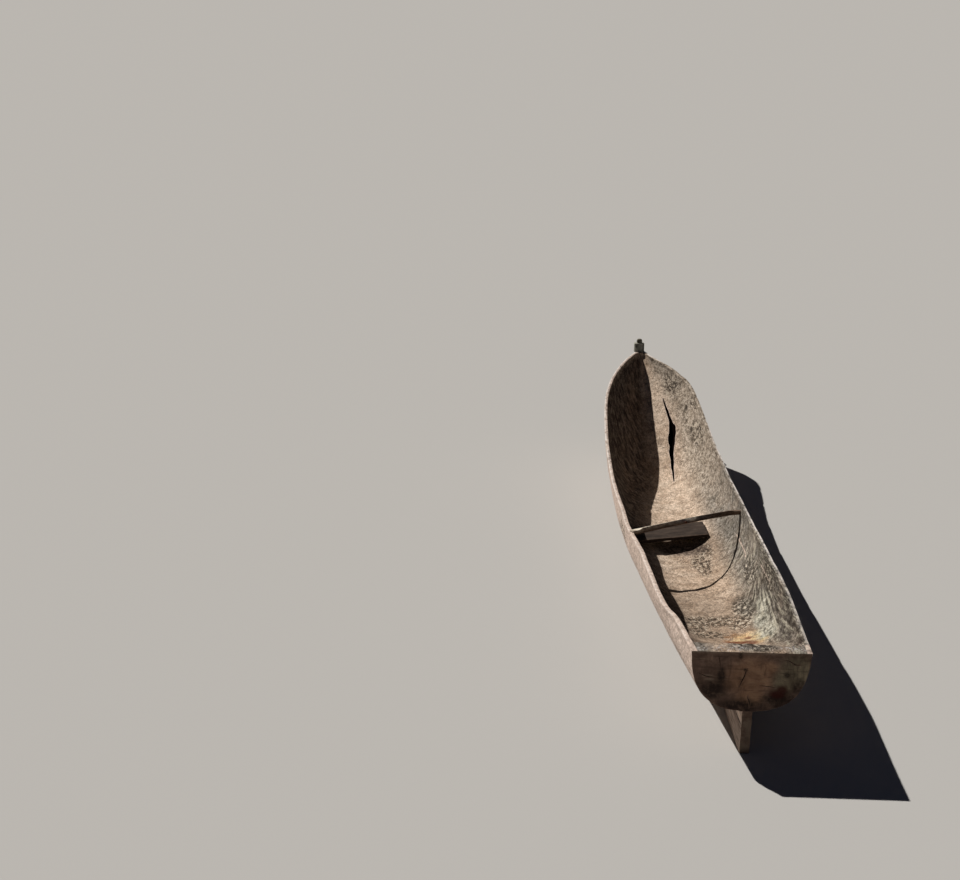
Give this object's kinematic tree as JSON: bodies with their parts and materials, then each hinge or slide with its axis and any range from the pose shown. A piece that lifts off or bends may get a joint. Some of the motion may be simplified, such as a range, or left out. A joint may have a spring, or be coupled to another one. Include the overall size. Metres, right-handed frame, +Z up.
{
  "type": "dugout canoe",
  "caption": "Hollowed log hull with pointed rising bow, flat half-round stern on a skeg, stem block, cross batten and low cross plank; weathered wood, split near the bow.",
  "frame": {"origin": "on the ground, below the middle of the hull's length and breadth", "axes": "+Y from stern to bow, +X to starboard, +Z up from the ground the boat stands on"},
  "size_m": [0.582, 3.63, 0.7026],
  "materials": {
    "hull_wood": "sun-bleached, hand-hewn, dry and rough",
    "skeg_wood": "weathered, dry, rough sawn",
    "dark_wood": "weathered brown, dry",
    "stem_wood": "grey-green, weathered end grain",
    "peg_wood": "worn, rough",
    "rusty_iron": "rusted"
  },
  "bodies": {
    "root": {"hull": "hull_wood", "stern_skeg": "skeg_wood", "skeg_treenail_1": "peg_wood", "skeg_treenail_2": "peg_wood", "skeg_treenail_3": "peg_wood", "stem_block": "stem_wood", "stem_peg": "peg_wood", "batten": "dark_wood", "batten_nail": "rusty_iron", "cross_board": "dark_wood"}
  },
  "joints": []
}
